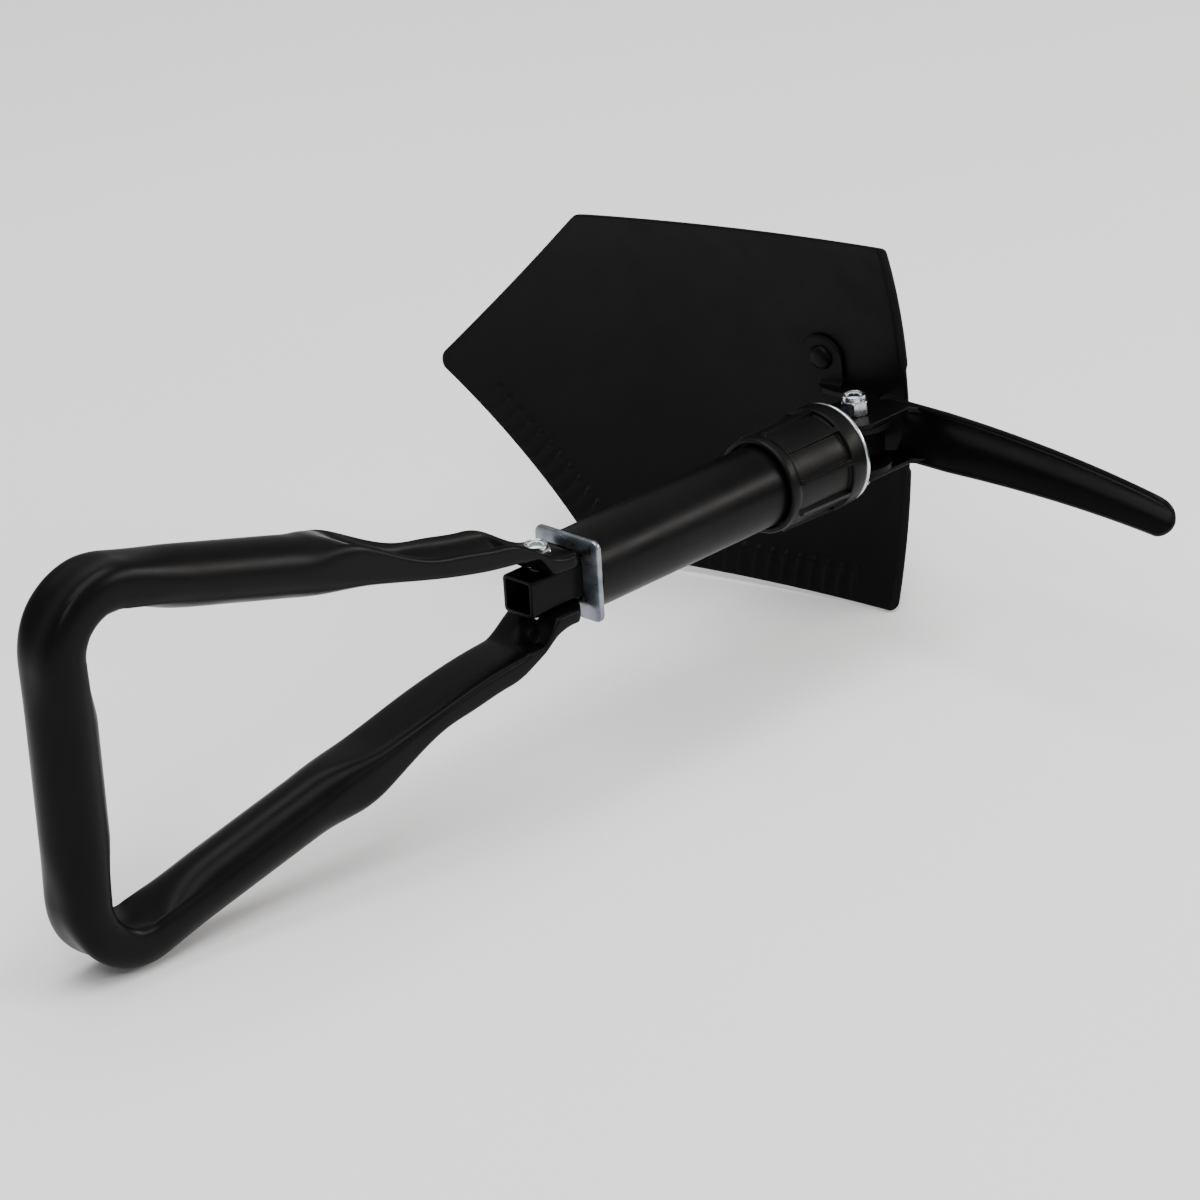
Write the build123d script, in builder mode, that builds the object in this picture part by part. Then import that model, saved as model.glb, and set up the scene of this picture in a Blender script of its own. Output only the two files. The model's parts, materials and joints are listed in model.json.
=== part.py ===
"""Folding camp shovel: blade and pick on one head pivot, folding loop handle on the other.

Units are millimetres and +Z is up. The shaft lies along X, with the blade at +X and the
loop handle at -X. The two pivots are M6 bolts that stand along Z. The blade opens towards
+Y and the pick towards -Y. The row's origin is the middle of the footprint, at its base.
"""
import os
from math import asin, atan2, cos, degrees, radians, sin, sqrt

from build123d import *

# ---- where the head pivot stands over the row's origin
PIVOT_X = 185.02
PIVOT_Y = -25.09
AXIS_Z = 75.994

# ---- the pivots and how the three folding parts stand at rest
PIVOT_SPACING = 175.6
BLADE_ANGLE = 13.6
HANDLE_ANGLE = 3.8

# ---- shaft
CORE_SIDE = 15.0
CORE_WALL = 1.6
CORE_CORNER = 2.0
CORE_FRONT = 9.0
CORE_BACK = -186.5
SLEEVE_RADIUS = 16.0
SLEEVE_WALL = 1.5
SLEEVE_FRONT = -30.0
PLATE_SIDE = 32.0
PLATE_BACK = -160.5
PLATE_THICK = 2.5
BUSH_RADIUS = 17.5
BUSH_BACK = -54.0
SQUARE_CLEARANCE = 0.15
RUNNING_CLEARANCE = 0.06

# ---- lock collar and thrust disc
COLLAR_BACK = -57.0
COLLAR_FRONT = -16.4
COLLAR_PANEL_RADIUS = 19.0
COLLAR_BAND_RADIUS = 20.8
COLLAR_BAND = 8.0
COLLAR_NOSE = 4.0
COLLAR_RIBS = 9
COLLAR_RIB_PHASE = 8.0
COLLAR_RIB_WIDTH = 1.9
COLLAR_RIB_START = -52.0
DISC_RADIUS = 20.5
DISC_BACK = -16.3
DISC_THICK = 1.8

# ---- ears on the head pivot
EAR_RADIUS = 14.2
EAR_FLAT = 13.2
EAR_THICK = 2.0
INNER_EAR = 7.6
OUTER_EAR = 9.7

# ---- blade
BLADE_FACE = 31.88
BLADE_MIDDLE = 59.4
BLADE_ACROSS_RADIUS = 181.25
BLADE_ALONG_RADIUS = 597.8
BLADE_THICK = 2.0
BLADE_BACK = -8.6
BLADE_SHOULDER = 129.5
BLADE_TIP = 201.3
BACK_HALF_WIDTH = 76.0
SHOULDER_HALF_WIDTH = 72.5
LIP_START = 22.0
LIP_DEPTH = 2.2
LIP_HEIGHT = 1.6
RIB_LENGTH = 11.0
RIB_WIDTH = 3.2
RIB_HEIGHT = 1.0
RIB_INSET = 8.0
SIDE_RIBS = 18
SIDE_RIB_START = 12.0
SIDE_RIB_PITCH = 6.5
POINT_RIBS = 10
POINT_RIB_START = 8.0
POINT_RIB_PITCH = 6.2

# ---- blade bracket and rivets
RIVET_Y = 29.0
RIVET_Z = 21.0
RIVET_HEAD_RADIUS = 5.2
RIVET_HEAD = 2.6
RIVET_RADIUS = 3.0
LOBE_RADIUS = 9.2

# ---- pick
PICK_FACE = 27.0
PICK_ROOT = -3.0
PICK_TIP = -147.2
PICK_HALF_WIDTH = 12.7
PICK_TIP_HALF_WIDTH = 8.2
PICK_DEPTH = 7.8
PICK_TIP_DEPTH = 5.4
PICK_SHEET = 2.5
PICK_BEND_START = -30.0
PICK_BEND_RADIUS = 480.0

# ---- M6 pivot hardware
BOLT_RADIUS = 3.0
BOLT_HEAD = 4.0
HEX_FLATS = 10.0
NUT_HEX = 5.6
NUT_HEIGHT = 8.0
NUT_CROWN_RADIUS = 4.7
INSERT_RADIUS = 3.9
WASHER_RADIUS = 6.0
WASHER_THICK = 1.6
HEAD_STACK = 11.75
HANDLE_STACK = 9.65

# ---- loop handle
GRIP_REACH = 214.2
GRIP_HALF = 70.7
LEG_START_HALF = 15.95
TUBE_RADIUS = 12.2
TUBE_WALL = 1.2
BEND_RADIUS = 24.0
ROUND_FROM = 100.0
SEAT_RADIUS = 14.8
SEAT_HALF_WIDTH = 12.4
SEAT_THICK = 2.0
SEAT_RIM = 2.2
SEAT_RIM_TOP = 14.0
STEP_TOP = 20.5
STEP_START = 12.4

PIVOT = Vector(PIVOT_X, PIVOT_Y, AXIS_Z)
head = Plane(origin=PIVOT)
blade_plane = Plane(
    origin=PIVOT,
    x_dir=(cos(radians(BLADE_ANGLE)), sin(radians(BLADE_ANGLE)), 0),
    z_dir=(0, 0, 1),
)
handle_pivot = PIVOT - Vector(PIVOT_SPACING, 0, 0)
handle_plane = Plane(
    origin=handle_pivot,
    x_dir=(-cos(radians(HANDLE_ANGLE)), sin(radians(HANDLE_ANGLE)), 0),
    z_dir=(0, 0, 1),
)


def across(base, distance):
    """The plane across a base plane's own x axis, at a distance along it."""
    origin = base.from_local_coords((distance, 0, 0))
    return Plane(origin=origin, x_dir=base.y_dir, z_dir=base.x_dir)


def beside(base, distance):
    """The plane that holds a base plane's x and z axes, at a distance along its y axis."""
    origin = base.from_local_coords((0, distance, 0))
    return Plane(origin=origin, x_dir=base.x_dir, z_dir=-base.y_dir)


# ---- core: the square tube that carries both pivots
with BuildPart() as core_tube:
    with BuildSketch(across(head, CORE_BACK)):
        RectangleRounded(CORE_SIDE, CORE_SIDE, CORE_CORNER)
        inner = CORE_SIDE - 2 * CORE_WALL
        RectangleRounded(inner, inner, CORE_CORNER / 2, mode=Mode.SUBTRACT)
    extrude(amount=CORE_FRONT - CORE_BACK)
    for at in (0, -PIVOT_SPACING):
        with Locations(PIVOT + Vector(at, 0, 0)):
            Cylinder(BOLT_RADIUS + RUNNING_CLEARANCE, 2 * CORE_SIDE, mode=Mode.SUBTRACT)
core_tube.part.label = "core_tube"

# ---- sleeve: the round tube, its thread bush and the plate that presses on the handle
with BuildPart() as sleeve_tube:
    with BuildSketch(across(head, PLATE_BACK + PLATE_THICK)):
        Circle(SLEEVE_RADIUS)
        Circle(SLEEVE_RADIUS - SLEEVE_WALL, mode=Mode.SUBTRACT)
    extrude(amount=SLEEVE_FRONT - PLATE_BACK - PLATE_THICK)
sleeve_tube.part.label = "sleeve_tube"

with BuildPart() as thread_bush:
    with BuildSketch(across(head, BUSH_BACK)):
        Circle(BUSH_RADIUS)
        Circle(SLEEVE_RADIUS, mode=Mode.SUBTRACT)
    extrude(amount=SLEEVE_FRONT - BUSH_BACK)
thread_bush.part.label = "thread_bush"

with BuildPart() as pressure_plate:
    with BuildSketch(across(head, PLATE_BACK)):
        RectangleRounded(PLATE_SIDE, PLATE_SIDE, 3)
        hole = CORE_SIDE + 2 * SQUARE_CLEARANCE
        RectangleRounded(hole, hole, CORE_CORNER, mode=Mode.SUBTRACT)
    extrude(amount=PLATE_THICK)
pressure_plate.part.label = "pressure_plate"

# ---- lock collar: turning it forces the sleeve and the thrust disc apart
with BuildPart() as lock_collar:
    with BuildSketch(across(head, COLLAR_BACK)):
        Circle(COLLAR_PANEL_RADIUS)
    extrude(amount=COLLAR_FRONT - COLLAR_BACK)
    back_rim = lock_collar.edges().group_by(Axis.X)[0]
    chamfer(back_rim, 0.8)
    with BuildSketch(across(head, COLLAR_FRONT - COLLAR_BAND)):
        Circle(COLLAR_BAND_RADIUS)
    extrude(amount=COLLAR_BAND)
    front_rim = lock_collar.edges().group_by(Axis.X)[-1]
    fillet(front_rim, 1.0)
    for turn in range(COLLAR_RIBS):
        angle = radians(COLLAR_RIB_PHASE + 360 * turn / COLLAR_RIBS)
        rib_plane = Plane(
            origin=PIVOT, x_dir=(1, 0, 0), z_dir=(0, -sin(angle), cos(angle))
        )
        with BuildSketch(rib_plane):
            with BuildLine():
                Polyline(
                    (COLLAR_RIB_START, COLLAR_PANEL_RADIUS - 1.0),
                    (COLLAR_RIB_START, COLLAR_PANEL_RADIUS + 0.6),
                    (COLLAR_FRONT - COLLAR_BAND, COLLAR_BAND_RADIUS - 0.1),
                    (COLLAR_FRONT - COLLAR_BAND + 1, COLLAR_PANEL_RADIUS - 1.0),
                    close=True,
                )
            make_face()
        extrude(amount=COLLAR_RIB_WIDTH / 2, both=True)
    with BuildSketch(across(head, COLLAR_BACK)):
        Circle(BUSH_RADIUS + RUNNING_CLEARANCE)
    extrude(amount=COLLAR_FRONT - COLLAR_NOSE - COLLAR_BACK, mode=Mode.SUBTRACT)
    with BuildSketch(across(head, COLLAR_BACK)):
        Circle(CORE_SIDE / sqrt(2) + 0.6)
    extrude(amount=COLLAR_FRONT - COLLAR_BACK, mode=Mode.SUBTRACT)
lock_collar.part.label = "lock_collar"

with BuildPart() as thrust_disc:
    with BuildSketch(across(head, DISC_BACK)):
        Circle(DISC_RADIUS)
        hole = CORE_SIDE + 2 * SQUARE_CLEARANCE
        RectangleRounded(hole, hole, CORE_CORNER, mode=Mode.SUBTRACT)
    extrude(amount=DISC_THICK)
    fillet(thrust_disc.edges().filter_by(GeomType.CIRCLE).sort_by(SortBy.LENGTH)[-2:], 0.5)
thrust_disc.part.label = "thrust_disc"


def dish_face(along, z):
    """Where the blade's concave face stands in front of the head pivot."""
    fall_along = BLADE_ALONG_RADIUS - sqrt(BLADE_ALONG_RADIUS**2 - (along - BLADE_MIDDLE) ** 2)
    fall_across = BLADE_ACROSS_RADIUS - sqrt(BLADE_ACROSS_RADIUS**2 - z**2)
    return BLADE_FACE - fall_along - fall_across


def dish_band(low, high):
    """A dished layer that follows the blade, from low to high in front of its concave face."""
    start = -9.0
    back = BLADE_FACE - BLADE_ALONG_RADIUS
    axis_point = blade_plane.from_local_coords((back, BLADE_MIDDLE, 0))
    lean = radians(BLADE_ANGLE + start)
    begin = Plane(origin=axis_point, x_dir=(cos(lean), sin(lean), 0), z_dir=(sin(lean), -cos(lean), 0))
    half = 82.0
    with BuildPart() as band:
        with BuildSketch(begin):
            with BuildLine():
                for rise in (low, high):
                    radius = BLADE_ACROSS_RADIUS + rise
                    middle = BLADE_ALONG_RADIUS - BLADE_ACROSS_RADIUS
                    reach = middle + sqrt(radius**2 - half**2)
                    ThreePointArc((reach, -half), (middle + radius, 0), (reach, half))
                for side in (-1, 1):
                    ends = []
                    for rise in (low, high):
                        reach = sqrt((BLADE_ACROSS_RADIUS + rise) ** 2 - half**2)
                        ends.append((middle + reach, side * half))
                    Line(*ends)
            make_face()
        revolve(axis=Axis(axis_point, (0, 0, 1)), revolution_arc=25)
    return band.part


def rivet_seat(side):
    """The plane on the blade's concave face under one rivet, facing out towards the handle."""
    face = dish_face(RIVET_Y, RIVET_Z)
    lean = asin(side * RIVET_Z / BLADE_ACROSS_RADIUS)
    seat = blade_plane.from_local_coords((face, RIVET_Y, side * RIVET_Z))
    pitch = asin((BLADE_MIDDLE - RIVET_Y) / BLADE_ALONG_RADIUS)
    level = sin(pitch) * blade_plane.y_dir - cos(pitch) * blade_plane.x_dir
    outward = cos(lean) * level - sin(lean) * Vector(0, 0, 1)
    return Plane(origin=seat, x_dir=(0, 0, 1), z_dir=outward)


# ---- blade: a dished pentagon with a rolled lip behind and stamped ribs along its lower edges
blade_outline = [
    (BLADE_BACK, BACK_HALF_WIDTH),
    (BLADE_SHOULDER, SHOULDER_HALF_WIDTH),
    (BLADE_TIP, 0),
    (BLADE_SHOULDER, -SHOULDER_HALF_WIDTH),
    (BLADE_BACK, -BACK_HALF_WIDTH),
]
with BuildPart() as blade:
    with BuildSketch(across(blade_plane, -20)) as outline:
        with BuildLine():
            Polyline(*blade_outline, close=True)
        make_face()
        fillet(outline.vertices().group_by(Axis.X)[-1], 6)
        fillet(outline.vertices().group_by(Axis.X)[0], 3)
    extrude(amount=80)
    add(dish_band(0, BLADE_THICK), mode=Mode.INTERSECT)
    with BuildPart(mode=Mode.PRIVATE) as lip:
        for side in (-1, 1):
            length = BACK_HALF_WIDTH - 4 - LIP_START
            with BuildSketch(across(blade_plane, -20)):
                with Locations((BLADE_BACK + LIP_DEPTH / 2, side * (LIP_START + length / 2))):
                    Rectangle(LIP_DEPTH, length)
            extrude(amount=80)
        add(dish_band(BLADE_THICK - 0.2, LIP_HEIGHT + BLADE_THICK), mode=Mode.INTERSECT)
    add(lip.part)
    # ribs across the lower side edge, then across the lower point edge
    point_run = Vector(BLADE_TIP - BLADE_SHOULDER, SHOULDER_HALF_WIDTH, 0).normalized()
    point_lean = degrees(atan2(point_run.X, -point_run.Y))
    with BuildPart(mode=Mode.PRIVATE) as ribs:
        with BuildSketch(across(blade_plane, -20)):
            for count in range(SIDE_RIBS):
                along = SIDE_RIB_START + count * SIDE_RIB_PITCH
                share = (along - BLADE_BACK) / (BLADE_SHOULDER - BLADE_BACK)
                edge = BACK_HALF_WIDTH + share * (SHOULDER_HALF_WIDTH - BACK_HALF_WIDTH)
                with Locations((along, RIB_INSET - edge)):
                    SlotOverall(RIB_LENGTH, RIB_WIDTH, rotation=90)
            for count in range(POINT_RIBS):
                run = POINT_RIB_START + count * POINT_RIB_PITCH
                along = BLADE_SHOULDER + run * point_run.X - RIB_INSET * point_run.Y
                edge = -SHOULDER_HALF_WIDTH + run * point_run.Y + RIB_INSET * point_run.X
                with Locations((along, edge)):
                    SlotOverall(RIB_LENGTH, RIB_WIDTH, rotation=point_lean)
        extrude(amount=80)
        add(dish_band(-RIB_HEIGHT, BLADE_THICK / 2), mode=Mode.INTERSECT)
    add(ribs.part)
blade.part.label = "blade"

# ---- blade bracket: two ears inside the pick's, with flaps riveted to the blade's face
with BuildPart() as blade_bracket:
    with BuildPart(mode=Mode.PRIVATE) as flap:
        with BuildSketch(across(blade_plane, -20)):
            for side in (-1, 1):
                with Locations((RIVET_Y, side * RIVET_Z)):
                    Circle(LOBE_RADIUS)
                with Locations((RIVET_Y - 0.9, side * (INNER_EAR + RIVET_Z) / 2)):
                    Rectangle(2 * LOBE_RADIUS + 1.8, RIVET_Z - INNER_EAR)
        extrude(amount=80)
        add(dish_band(-EAR_THICK, 0), mode=Mode.INTERSECT)
    add(flap.part)
    for side in (-1, 1):
        middle = side * (INNER_EAR + EAR_THICK / 2)
        with BuildSketch(blade_plane.offset(middle)):
            Circle(EAR_RADIUS)
            with BuildLine():
                Polyline(
                    (10.0, -10.0),
                    (EAR_RADIUS + 3, 1.0),
                    (40.0, 3.5),
                    (40.0, RIVET_Y + LOBE_RADIUS),
                    (22.0, RIVET_Y + LOBE_RADIUS - 3),
                    (21.8, EAR_RADIUS),
                    (0.0, EAR_RADIUS),
                    close=True,
                )
            make_face()
        extrude(amount=EAR_THICK / 2, both=True)
    add(dish_band(0, 24), mode=Mode.SUBTRACT)
    with Locations(PIVOT):
        Cylinder(BOLT_RADIUS + RUNNING_CLEARANCE, 2 * CORE_SIDE, mode=Mode.SUBTRACT)
    for side in (-1, 1):
        with BuildSketch(rivet_seat(side).offset(-8)):
            Circle(RIVET_RADIUS + 0.02)
        extrude(amount=14, mode=Mode.SUBTRACT)
blade_bracket.part.label = "blade_bracket"

with BuildPart() as blade_rivets:
    for side in (-1, 1):
        seat = rivet_seat(side)
        with BuildSketch(seat.offset(0.1)):
            Circle(RIVET_RADIUS)
        extrude(amount=EAR_THICK + 0.4)
        with BuildSketch(seat.offset(EAR_THICK + 0.1)):
            Circle(RIVET_HEAD_RADIUS)
        extrude(amount=RIVET_HEAD, taper=28)
        with BuildSketch(seat.offset(-BLADE_THICK - 1.0)):
            Circle(RIVET_HEAD_RADIUS)
        extrude(amount=0.95)
blade_rivets.part.label = "blade_rivets"


def pick_half_width(y):
    """The pick's half width across Z at a point along it."""
    share = (y - PICK_BEND_START) / (PICK_TIP - PICK_BEND_START)
    share = max(share, 0)
    return PICK_HALF_WIDTH + share * (PICK_TIP_HALF_WIDTH - PICK_HALF_WIDTH)


def pick_section(y, web, half_width, depth):
    """A trough's section across the pick: an outer arc, an inner arc and two flat edges."""
    radius = (half_width**2 + depth**2) / (2 * depth)
    inner = radius - PICK_SHEET
    lift = radius - depth
    inner_half = sqrt(inner**2 - lift**2)
    where = Plane(origin=PIVOT + Vector(0, y, 0), x_dir=(1, 0, 0), z_dir=(0, -1, 0))
    with BuildSketch(where) as section:
        with BuildLine():
            edge = web - depth
            ThreePointArc((edge, half_width), (web, 0), (edge, -half_width))
            Line((edge, -half_width), (edge, -inner_half))
            ThreePointArc((edge, -inner_half), (web - PICK_SHEET, 0), (edge, inner_half))
            Line((edge, inner_half), (edge, half_width))
        make_face()
    return section.sketch


# ---- pick: a curved trough with two ears on the head pivot
with BuildPart() as pick:
    for y in (PICK_ROOT, PICK_BEND_START, -70.0, -110.0, PICK_TIP):
        share = max((y - PICK_BEND_START) / (PICK_TIP - PICK_BEND_START), 0)
        bend = PICK_BEND_RADIUS - sqrt(PICK_BEND_RADIUS**2 - min(y - PICK_BEND_START, 0) ** 2)
        depth = PICK_DEPTH + share * (PICK_TIP_DEPTH - PICK_DEPTH)
        add(pick_section(y, PICK_FACE - bend, pick_half_width(y), depth))
    loft()
    with BuildSketch(across(head, -5)) as spoon:
        with BuildLine():
            Polyline(
                (5, 20),
                (PICK_TIP + PICK_TIP_HALF_WIDTH, 20),
                (PICK_TIP + PICK_TIP_HALF_WIDTH, PICK_TIP_HALF_WIDTH),
            )
            ThreePointArc(
                (PICK_TIP + PICK_TIP_HALF_WIDTH, PICK_TIP_HALF_WIDTH),
                (PICK_TIP, 0),
                (PICK_TIP + PICK_TIP_HALF_WIDTH, -PICK_TIP_HALF_WIDTH),
            )
            Polyline(
                (PICK_TIP + PICK_TIP_HALF_WIDTH, -PICK_TIP_HALF_WIDTH),
                (PICK_TIP + PICK_TIP_HALF_WIDTH, -20),
                (5, -20),
                (5, 20),
            )
        make_face()
    extrude(amount=40, mode=Mode.INTERSECT)
    for side in (-1, 1):
        middle = side * (OUTER_EAR + EAR_THICK / 2)
        with BuildSketch(head.offset(middle)):
            Circle(EAR_RADIUS)
            with BuildLine():
                Polyline(
                    (0, -EAR_FLAT),
                    (PICK_FACE - PICK_DEPTH - 2.5, -EAR_FLAT),
                    (PICK_FACE - PICK_DEPTH + 1.6, -EAR_FLAT - 7),
                    (PICK_FACE - PICK_DEPTH + 1.6, PICK_ROOT),
                    (10, 9),
                    (0, 9),
                    close=True,
                )
            make_face()
            with Locations((0, -EAR_FLAT - 10)):
                Rectangle(30, 20, mode=Mode.SUBTRACT)
        extrude(amount=EAR_THICK / 2, both=True)
    with Locations(PIVOT):
        Cylinder(BOLT_RADIUS + RUNNING_CLEARANCE, 2 * CORE_SIDE, mode=Mode.SUBTRACT)
pick.part.label = "pick"


# ---- M6 hardware: the two pivot bolts, their locking nuts, nut inserts and washers
with BuildPart() as head_bolt:
    with Locations(PIVOT - Vector(0, 0, HEAD_STACK + WASHER_THICK)):
        Cylinder(
            BOLT_RADIUS,
            2 * HEAD_STACK + WASHER_THICK + NUT_HEIGHT - 0.4,
            align=(Align.CENTER, Align.CENTER, Align.MIN),
        )
    with BuildSketch(head.offset(-HEAD_STACK - WASHER_THICK - BOLT_HEAD)):
        RegularPolygon(HEX_FLATS / 2, 6, major_radius=False)
    extrude(amount=BOLT_HEAD)
head_bolt.part.label = "head_bolt"

with BuildPart() as head_washer:
    with BuildSketch(head.offset(-HEAD_STACK - WASHER_THICK)):
        Circle(WASHER_RADIUS)
        Circle(BOLT_RADIUS, mode=Mode.SUBTRACT)
    extrude(amount=WASHER_THICK)
head_washer.part.label = "head_washer"

with BuildPart() as head_nut:
    with BuildSketch(head.offset(HEAD_STACK)):
        RegularPolygon(HEX_FLATS / 2, 6, rotation=12, major_radius=False)
    extrude(amount=NUT_HEX)
    with BuildSketch(head.offset(HEAD_STACK + NUT_HEX)):
        Circle(NUT_CROWN_RADIUS)
    extrude(amount=NUT_HEIGHT - NUT_HEX)
    with Locations(PIVOT + Vector(0, 0, HEAD_STACK)):
        Cylinder(BOLT_RADIUS, 40, mode=Mode.SUBTRACT)
    with BuildSketch(head.offset(HEAD_STACK + NUT_HEX)):
        Circle(INSERT_RADIUS)
    extrude(amount=NUT_HEIGHT - NUT_HEX - 0.3, mode=Mode.SUBTRACT)
head_nut.part.label = "head_nut"

with BuildPart() as head_nut_insert:
    with BuildSketch(head.offset(HEAD_STACK + NUT_HEX)):
        Circle(INSERT_RADIUS)
        Circle(BOLT_RADIUS, mode=Mode.SUBTRACT)
    extrude(amount=NUT_HEIGHT - NUT_HEX - 0.4)
head_nut_insert.part.label = "head_nut_insert"

rear = Plane(origin=handle_pivot)
with BuildPart() as handle_bolt:
    with Locations(handle_pivot - Vector(0, 0, HANDLE_STACK)):
        Cylinder(
            BOLT_RADIUS,
            2 * HANDLE_STACK + NUT_HEIGHT - 0.4,
            align=(Align.CENTER, Align.CENTER, Align.MIN),
        )
    with BuildSketch(rear.offset(-HANDLE_STACK - BOLT_HEAD)):
        RegularPolygon(HEX_FLATS / 2, 6, major_radius=False)
    extrude(amount=BOLT_HEAD)
handle_bolt.part.label = "handle_bolt"

with BuildPart() as handle_nut:
    with BuildSketch(rear.offset(HANDLE_STACK)):
        RegularPolygon(HEX_FLATS / 2, 6, rotation=25, major_radius=False)
    extrude(amount=NUT_HEX)
    with BuildSketch(rear.offset(HANDLE_STACK + NUT_HEX)):
        Circle(NUT_CROWN_RADIUS)
    extrude(amount=NUT_HEIGHT - NUT_HEX)
    with Locations(handle_pivot + Vector(0, 0, HANDLE_STACK)):
        Cylinder(BOLT_RADIUS, 40, mode=Mode.SUBTRACT)
    with BuildSketch(rear.offset(HANDLE_STACK + NUT_HEX)):
        Circle(INSERT_RADIUS)
    extrude(amount=NUT_HEIGHT - NUT_HEX - 0.3, mode=Mode.SUBTRACT)
handle_nut.part.label = "handle_nut"

with BuildPart() as handle_nut_insert:
    with BuildSketch(rear.offset(HANDLE_STACK + NUT_HEX)):
        Circle(INSERT_RADIUS)
        Circle(BOLT_RADIUS, mode=Mode.SUBTRACT)
    extrude(amount=NUT_HEIGHT - NUT_HEX - 0.4)
handle_nut_insert.part.label = "handle_nut_insert"

# ---- loop handle: one bent steel tube, pressed flat round the pivot bolt
slope = (GRIP_HALF - LEG_START_HALF) / GRIP_REACH
leg_start = LEG_START_HALF + slope * ROUND_FROM
loop_plane = beside(handle_plane, 0)


def loop_sweep(radius):
    """The bent part of the handle, swept as a solid rod of one radius."""
    with BuildPart() as rod:
        with BuildLine(loop_plane) as path:
            FilletPolyline(
                (ROUND_FROM, leg_start),
                (GRIP_REACH, GRIP_HALF),
                (GRIP_REACH, -GRIP_HALF),
                (ROUND_FROM, -leg_start),
                radius=BEND_RADIUS,
            )
        with BuildSketch(Plane(origin=path.line @ 0, x_dir=handle_plane.y_dir, z_dir=path.line % 0)):
            Ellipse(radius + 0.01, radius)
        sweep(path=path.line)
    return rod.part


def leg_loft(side, inset):
    """One leg from its flattened foot to the round tube, smaller by inset all round."""
    outward = side * Vector(0, 0, 1)
    with BuildPart() as leg:
        foot = (STEP_START, 19.9, 2.7) if inset == 0 else (STEP_START + 5, 21.3, 3.1)
        foot_sections = (foot, (26.0, 24.0, 3.9), (60.0, 32.3, 7.5))
        for reach, middle, half in foot_sections:
            where = handle_plane.from_local_coords((reach, 0, side * middle))
            plane = Plane(origin=where, x_dir=handle_plane.y_dir, z_dir=handle_plane.x_dir)
            with BuildSketch(plane):
                Ellipse(SEAT_HALF_WIDTH - inset, half - inset)
        where = handle_plane.from_local_coords((ROUND_FROM, 0, side * leg_start))
        run = handle_plane.x_dir + slope * outward
        with BuildSketch(Plane(origin=where, x_dir=handle_plane.y_dir, z_dir=run)):
            Ellipse(TUBE_RADIUS - inset + 0.01, TUBE_RADIUS - inset)
        loft()
    return leg.part


with BuildPart() as handle_bore:
    add(loop_sweep(TUBE_RADIUS - TUBE_WALL))
    for side in (-1, 1):
        add(leg_loft(side, TUBE_WALL))

with BuildPart() as handle_loop:
    add(loop_sweep(TUBE_RADIUS))
    for side in (-1, 1):
        add(leg_loft(side, 0))
    add(handle_bore.part, mode=Mode.SUBTRACT)
    for side in (-1, 1):
        low = INNER_EAR if side > 0 else -STEP_TOP
        with BuildSketch(handle_plane.offset(low)):
            Circle(SEAT_RADIUS)
            Rectangle(60, 2 * SEAT_HALF_WIDTH, mode=Mode.INTERSECT)
        extrude(amount=STEP_TOP - INNER_EAR)
        low = INNER_EAR + SEAT_THICK if side > 0 else -40
        with BuildSketch(handle_plane.offset(low)):
            with Locations((-30, 0)):
                Rectangle(60 + 2 * STEP_START, 2 * (SEAT_HALF_WIDTH - SEAT_RIM))
        extrude(amount=40 - INNER_EAR - SEAT_THICK, mode=Mode.SUBTRACT)
        low = SEAT_RIM_TOP if side > 0 else -40
        with BuildSketch(handle_plane.offset(low)):
            with Locations((-32.4, 0)):
                Rectangle(60 + 2 * STEP_START - 2, 60)
        extrude(amount=40 - SEAT_RIM_TOP, mode=Mode.SUBTRACT)
        with Locations(handle_pivot):
            Cylinder(BOLT_RADIUS + RUNNING_CLEARANCE, 40, mode=Mode.SUBTRACT)
handle_loop.part.label = "handle_loop"

os.makedirs("parts", exist_ok=True)
export_step(core_tube.part, "parts/core_tube.step")
export_step(sleeve_tube.part, "parts/sleeve_tube.step")
export_step(thread_bush.part, "parts/thread_bush.step")
export_step(pressure_plate.part, "parts/pressure_plate.step")
export_step(lock_collar.part, "parts/lock_collar.step")
export_step(thrust_disc.part, "parts/thrust_disc.step")
export_step(blade.part, "parts/blade.step")
export_step(blade_bracket.part, "parts/blade_bracket.step")
export_step(blade_rivets.part, "parts/blade_rivets.step")
export_step(pick.part, "parts/pick.step")
export_step(head_bolt.part, "parts/head_bolt.step")
export_step(head_washer.part, "parts/head_washer.step")
export_step(head_nut.part, "parts/head_nut.step")
export_step(head_nut_insert.part, "parts/head_nut_insert.step")
export_step(handle_bolt.part, "parts/handle_bolt.step")
export_step(handle_nut.part, "parts/handle_nut.step")
export_step(handle_nut_insert.part, "parts/handle_nut_insert.step")
export_step(handle_loop.part, "parts/handle_loop.step")
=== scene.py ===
"""Looks of the folding camp shovel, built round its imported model.

Shapes are worked out in millimetres about the head pivot, and become metres in the row's
frame when their mesh is made. Along X is the shaft, Z runs along the pivot bolts.
"""

import json
from math import asin, atan2, cos, pi, radians, sin, sqrt

import bmesh
import bpy
import numpy as np
from mathutils import Matrix, Vector


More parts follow.
